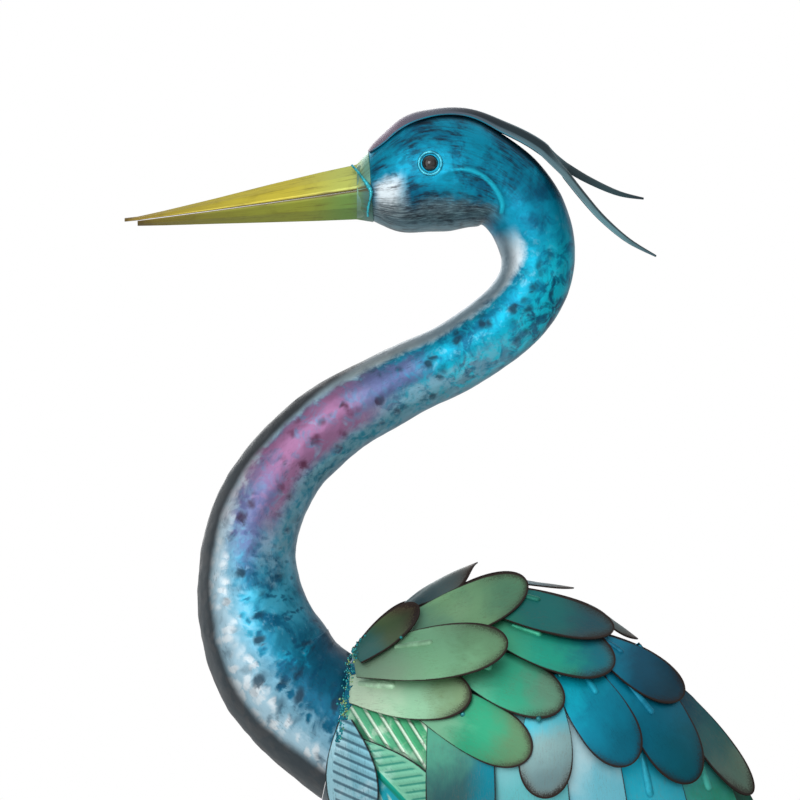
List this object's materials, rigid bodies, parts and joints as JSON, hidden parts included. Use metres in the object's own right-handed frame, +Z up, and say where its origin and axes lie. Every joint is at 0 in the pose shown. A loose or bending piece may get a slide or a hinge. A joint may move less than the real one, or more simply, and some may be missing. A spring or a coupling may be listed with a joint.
{
  "type": "crane garden statue",
  "caption": "Painted sheet-metal crane with an S-shaped neck, a long beak, a forked crest and layered feather plates, standing on thin legs on a low oval base.",
  "frame": {"origin": "centre of the base's flat underside", "axes": "+Z up, -X the way the beak points, y = 0 the plane of symmetry of the bird's pose"},
  "size_m": [0.5959, 0.236, 0.9992],
  "materials": {
    "neck_paint": "satin",
    "body_paint": "satin",
    "leaf_paint": "satin",
    "flight_paint": "satin",
    "shoulder_paint": "satin",
    "back_paint": "satin",
    "beak_paint": "satin",
    "crest_paint": "satin",
    "eye_glass": "gloss",
    "stand_metal": "satin"
  },
  "bodies": {
    "root": {"back_feather_1": "back_paint", "back_feather_2": "back_paint", "back_feather_3": "back_paint", "back_feather_4": "back_paint", "base": "stand_metal", "beak_lower": "beak_paint", "beak_upper": "beak_paint", "body": "body_paint", "breast_leaf_1_left": "leaf_paint", "breast_leaf_1_right": "leaf_paint", "breast_leaf_2_left": "leaf_paint", "breast_leaf_2_right": "leaf_paint", "breast_leaf_3_left": "leaf_paint", "breast_leaf_3_right": "leaf_paint", "crest": "crest_paint", "eye_left": "eye_glass", "eye_right": "eye_glass", "flight_feather_1_left": "flight_paint", "flight_feather_1_right": "flight_paint", "flight_feather_2_left": "flight_paint", "flight_feather_2_right": "flight_paint", "flight_feather_3_left": "flight_paint", "flight_feather_3_right": "flight_paint", "flight_feather_4_left": "flight_paint", "flight_feather_4_right": "flight_paint", "flight_feather_5_left": "flight_paint", "flight_feather_5_right": "flight_paint", "flight_feather_6_left": "flight_paint", "flight_feather_6_right": "flight_paint", "head_neck": "neck_paint", "leg_left": "stand_metal", "leg_right": "stand_metal", "shoulder_feather_10_left": "shoulder_paint", "shoulder_feather_10_right": "shoulder_paint", "shoulder_feather_11_left": "shoulder_paint", "shoulder_feather_11_right": "shoulder_paint", "shoulder_feather_12_left": "shoulder_paint", "shoulder_feather_12_right": "shoulder_paint", "shoulder_feather_13_left": "shoulder_paint", "shoulder_feather_13_right": "shoulder_paint", "shoulder_feather_1_left": "shoulder_paint", "shoulder_feather_1_right": "shoulder_paint", "shoulder_feather_2_left": "shoulder_paint", "shoulder_feather_2_right": "shoulder_paint", "shoulder_feather_3_left": "shoulder_paint", "shoulder_feather_3_right": "shoulder_paint", "shoulder_feather_4_left": "shoulder_paint", "shoulder_feather_4_right": "shoulder_paint", "shoulder_feather_5_left": "shoulder_paint", "shoulder_feather_5_right": "shoulder_paint", "shoulder_feather_6_left": "shoulder_paint", "shoulder_feather_6_right": "shoulder_paint", "shoulder_feather_7_left": "shoulder_paint", "shoulder_feather_7_right": "shoulder_paint", "shoulder_feather_8_left": "shoulder_paint", "shoulder_feather_8_right": "shoulder_paint", "shoulder_feather_9_left": "shoulder_paint", "shoulder_feather_9_right": "shoulder_paint", "tail": "back_paint"}
  },
  "joints": []
}
